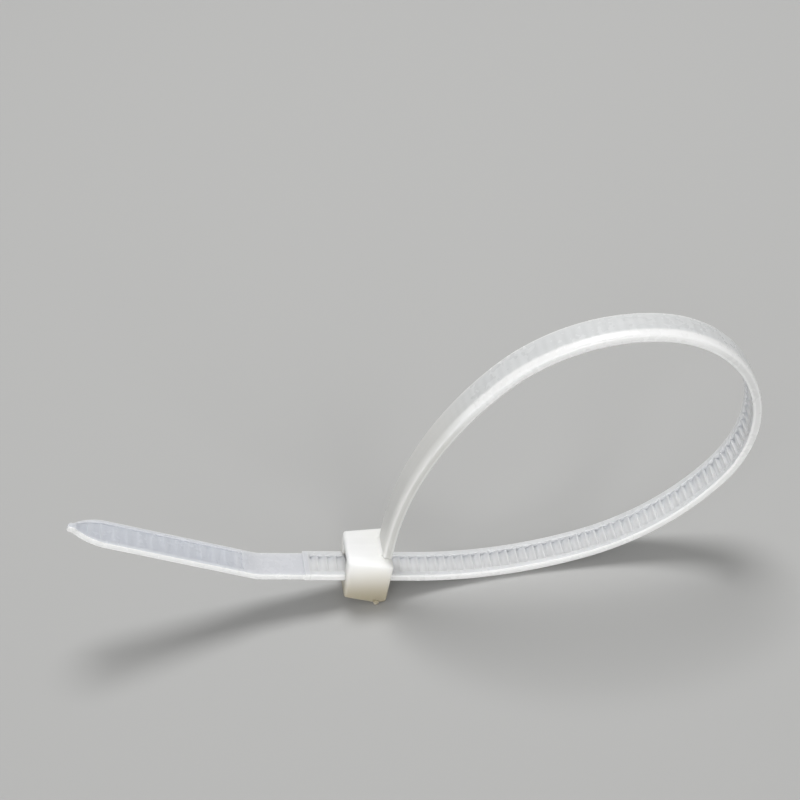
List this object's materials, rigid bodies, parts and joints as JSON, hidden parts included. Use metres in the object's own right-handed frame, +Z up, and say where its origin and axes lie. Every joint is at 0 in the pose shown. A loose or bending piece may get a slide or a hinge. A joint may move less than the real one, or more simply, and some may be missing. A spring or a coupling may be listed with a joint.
{
  "type": "cable tie",
  "caption": "Self-locking nylon cable tie, closed into a standing loop: toothed strap through a tapered ratchet head, with a plain, slightly kinked, pointed tail.",
  "frame": {"origin": "middle of the base of the bounding box, on the table, with the tie standing on the edge of its loop as it rests", "axes": "+X from the tail's tip towards the far bend of the loop, +Y across the strap's width, +Z up"},
  "size_m": [0.0741, 0.0063, 0.0331],
  "materials": {
    "nylon": "smooth, slightly translucent natural nylon"
  },
  "bodies": {
    "root": {"cable_tie": "nylon"}
  },
  "joints": []
}
